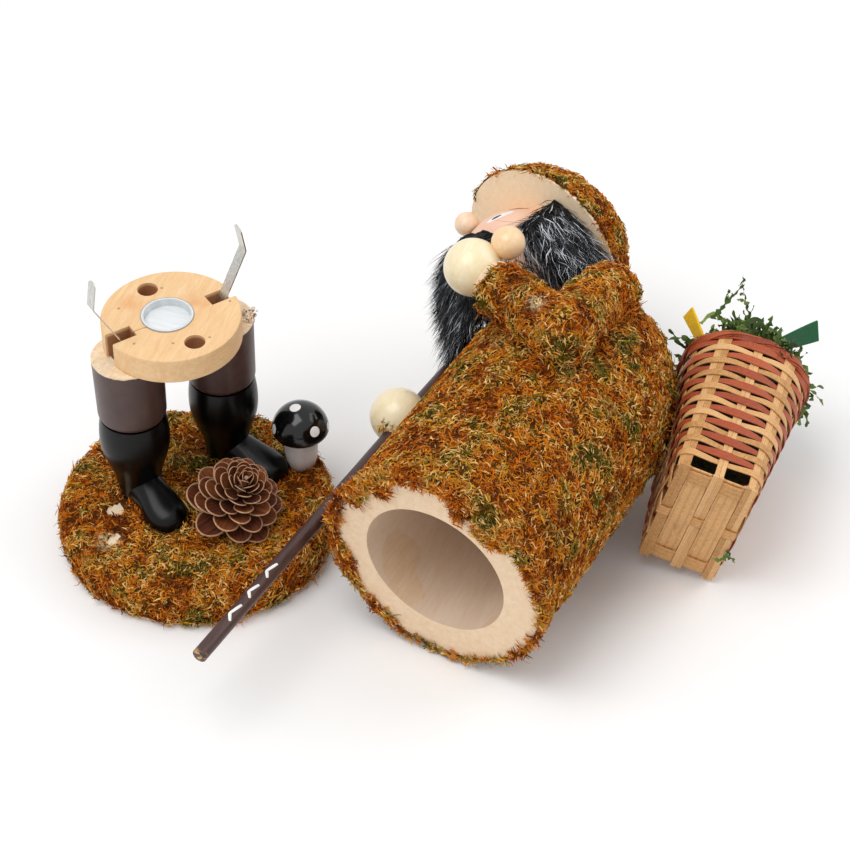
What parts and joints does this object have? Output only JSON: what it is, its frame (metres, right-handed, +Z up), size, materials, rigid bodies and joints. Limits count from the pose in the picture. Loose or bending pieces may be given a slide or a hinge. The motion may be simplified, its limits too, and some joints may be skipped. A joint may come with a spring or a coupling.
{
  "type": "incense smoker figure",
  "caption": "Moss-clad wooden incense smoker opened for filling: booted legs with a burner plate on a mossy base, and the hollow coat with head, hat, stick and pannier laid beside it.",
  "frame": {"origin": "centre of the base's underside, on the surface that it stands on", "axes": "+Z up; the upper half lies on the -Y side of the base with its crown towards +X"},
  "size_m": [0.27, 0.2922, 0.1364],
  "materials": {
    "base_wood": "bare turned beech",
    "brown_moss": "dry orange-brown moss",
    "black_lacquer": "black gloss lacquer on wood",
    "brown_lacquer": "brown satin paint on wood",
    "plate_wood": "bare yellowish wood",
    "tin": "bright tinplate",
    "spring_steel": "bright spring steel",
    "cone_brown": "dry pine cone",
    "white_paint": "white satin paint on wood",
    "bare_wood": "bare pale wood",
    "face_paint": "peach paint on wood",
    "cream_wood": "clear-varnished cream wood",
    "dark_fur": "black fur with white tips",
    "bamboo": "split bamboo weave",
    "red_bamboo": "red-brown stained cane",
    "green_moss": "green curly moss",
    "yellow_felt": "yellow felt",
    "green_felt": "green felt"
  },
  "bodies": {
    "lower_half": {"base_disc": "base_wood", "base_moss": "brown_moss", "right_boot_shaft": "black_lacquer", "left_boot_shaft": "black_lacquer", "right_boot_foot": "black_lacquer", "left_boot_foot": "black_lacquer", "leg_dowels": "base_wood", "right_thigh": "brown_lacquer", "left_thigh": "brown_lacquer", "burner_plate": "plate_wood", "incense_cup": "tin", "right_strip_foot": "spring_steel", "left_strip_foot": "spring_steel", "strip_tacks": "spring_steel", "pine_cone": "cone_brown", "mushroom_stem": "white_paint", "mushroom_cap": "black_lacquer"},
    "right_strip": {"right_strip_blade": "spring_steel"},
    "left_strip": {"left_strip_blade": "spring_steel"},
    "upper_half": {"coat": "bare_wood", "coat_moss": "brown_moss", "head": "face_paint", "nose": "face_paint", "hat": "bare_wood", "hat_moss": "brown_moss", "hair": "dark_fur", "beard": "dark_fur", "left_upper_arm": "bare_wood", "right_upper_arm": "bare_wood", "left_forearm": "bare_wood", "right_forearm": "bare_wood", "left_sleeve_moss": "brown_moss", "right_sleeve_moss": "brown_moss", "left_hand": "cream_wood", "left_thumb": "cream_wood", "right_hand": "cream_wood", "walking_stick": "brown_lacquer", "basket_wall": "bamboo", "basket_bottom": "bamboo", "basket_rim": "red_bamboo", "basket_moss": "green_moss", "yellow_felt": "yellow_felt", "green_felt": "green_felt"}
  },
  "joints": [
    {"name": "upper_half_lift", "type": "slide", "parent": "lower_half", "child": "upper_half", "axis": [0, 0, 1], "range_m": [0, 0.12]},
    {"name": "right_strip_flex", "type": "hinge", "parent": "lower_half", "child": "right_strip", "pos_m": [-0.00261, 0.02203, 0.09395], "axis": [0.6293, 0.7771, 0], "range_deg": [0, 10], "stiffness_Nm_per_rad": 0.3},
    {"name": "left_strip_flex", "type": "hinge", "parent": "lower_half", "child": "left_strip", "pos_m": [0.02661, -0.00163, 0.09395], "axis": [-0.6293, -0.7771, 0], "range_deg": [0, 10], "stiffness_Nm_per_rad": 0.3}
  ]
}
